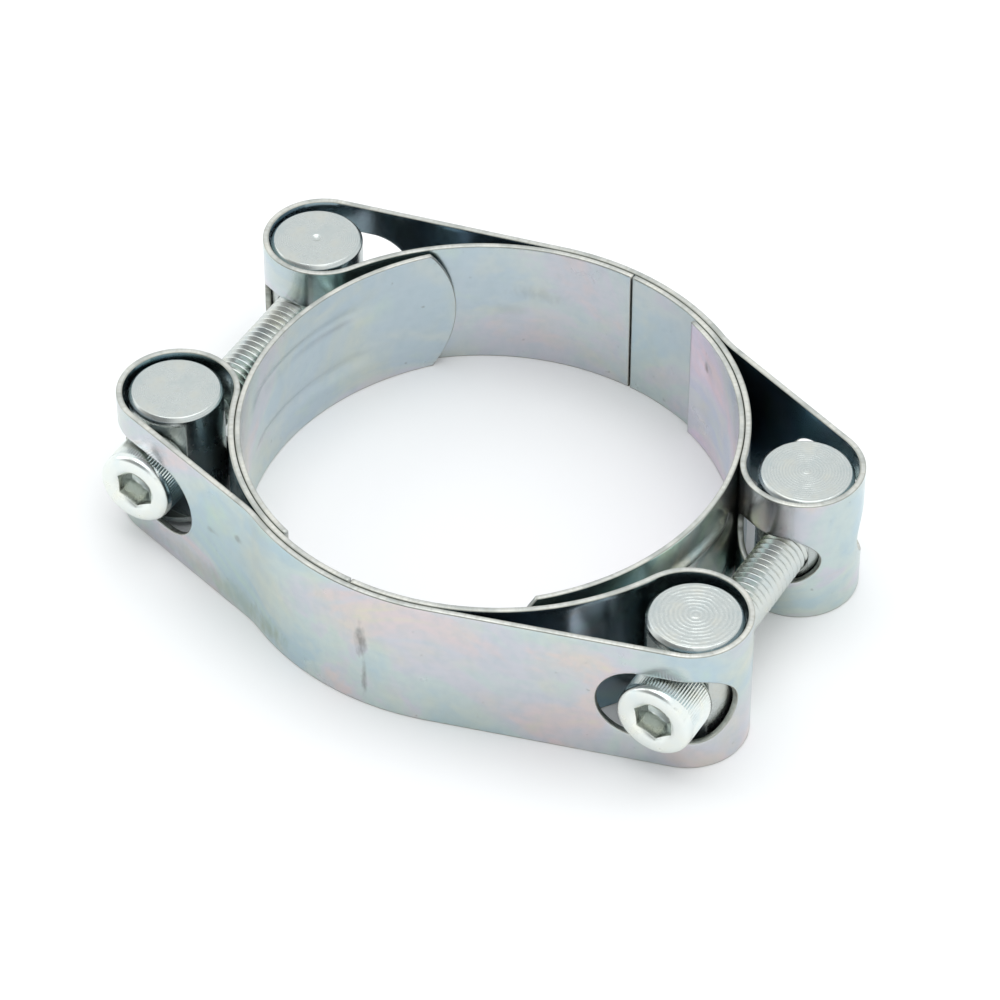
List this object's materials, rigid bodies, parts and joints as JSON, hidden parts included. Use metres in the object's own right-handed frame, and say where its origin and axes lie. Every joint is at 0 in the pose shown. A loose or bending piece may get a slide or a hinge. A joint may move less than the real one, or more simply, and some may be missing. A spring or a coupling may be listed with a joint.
{
  "type": "pipe repair clamp",
  "caption": "Two-screw band clamp for pipe and hose: bent half bands looped round cross-bored trunnions, tongues that bridge both gaps, socket head screws.",
  "frame": {"origin": "centre of the clamped circle, on the plane the clamp lies on", "axes": "+Z along the pipe; +Y the way both screws point, from their heads at the front to their nuts at the rear; +X to the right, through both screws"},
  "size_m": [0.1153, 0.0884, 0.024],
  "materials": {
    "band_strip": "blue zinc plated cold rolled strip, satin, faint rainbow passivation",
    "tongue_strip": "blue zinc plated strip, satin",
    "trunnion_bar": "zinc plated turned bar, fine turning rings on the ends",
    "screw_steel": "zinc plated screw, rolled thread, pale yellow green tint"
  },
  "bodies": {
    "front_half": {"front_band": "band_strip", "left_tongue": "tongue_strip"},
    "left_front_trunnion": {"left_front_trunnion": "trunnion_bar"},
    "left_screw": {"left_screw": "screw_steel"},
    "left_nut_trunnion": {"left_nut_trunnion": "trunnion_bar"},
    "rear_half": {"rear_band": "band_strip", "right_tongue": "tongue_strip"},
    "right_front_trunnion": {"right_front_trunnion": "trunnion_bar"},
    "right_screw": {"right_screw": "screw_steel"},
    "right_nut_trunnion": {"right_nut_trunnion": "trunnion_bar"}
  },
  "joints": [
    {"name": "left_swing", "type": "hinge", "parent": "front_half", "child": "left_front_trunnion", "pos_m": [-0.04847, -0.0179, 0.012], "axis": [0, 0, 1], "range_deg": [-0.05, 3]},
    {"name": "left_nut_travel", "type": "slide", "parent": "left_front_trunnion", "child": "left_nut_trunnion", "axis": [0, -1, 0], "range_m": [-0.01, 0.00013]},
    {"name": "left_screw_spin", "type": "hinge", "parent": "left_front_trunnion", "child": "left_screw", "pos_m": [-0.04847, -0.0179, 0.012], "axis": [0, 1, 0], "range_deg": [-2881, 37]},
    {"name": "rear_half_pivot", "type": "hinge", "parent": "left_nut_trunnion", "child": "rear_half", "pos_m": [-0.04847, 0.0256, 0.012], "axis": [0, 0, 1], "range_deg": [-3.02, 0.07]},
    {"name": "right_swing", "type": "hinge", "parent": "front_half", "child": "right_front_trunnion", "pos_m": [0.04847, -0.02265, 0.012], "axis": [0, 0, 1], "range_deg": [-0.08, 3.51]},
    {"name": "right_nut_travel", "type": "slide", "parent": "right_front_trunnion", "child": "right_nut_trunnion", "axis": [0, -1, 0], "range_m": [-0.01005, 0.00015]},
    {"name": "right_screw_spin", "type": "hinge", "parent": "right_front_trunnion", "child": "right_screw", "pos_m": [0.04847, -0.02265, 0.012], "axis": [0, 1, 0], "range_deg": [-2881, 37]}
  ],
  "couplings": [
    {"joint": "rear_half_pivot", "follows": "left_swing", "ratio": -1},
    {"joint": "right_swing", "follows": "left_swing", "ratio": 1.1629},
    {"joint": "left_screw_spin", "follows": "left_nut_travel", "rad_per_m": 5026.5},
    {"joint": "right_nut_travel", "follows": "left_nut_travel", "ratio": 1},
    {"joint": "right_screw_spin", "follows": "left_nut_travel", "rad_per_m": 5026.5}
  ]
}
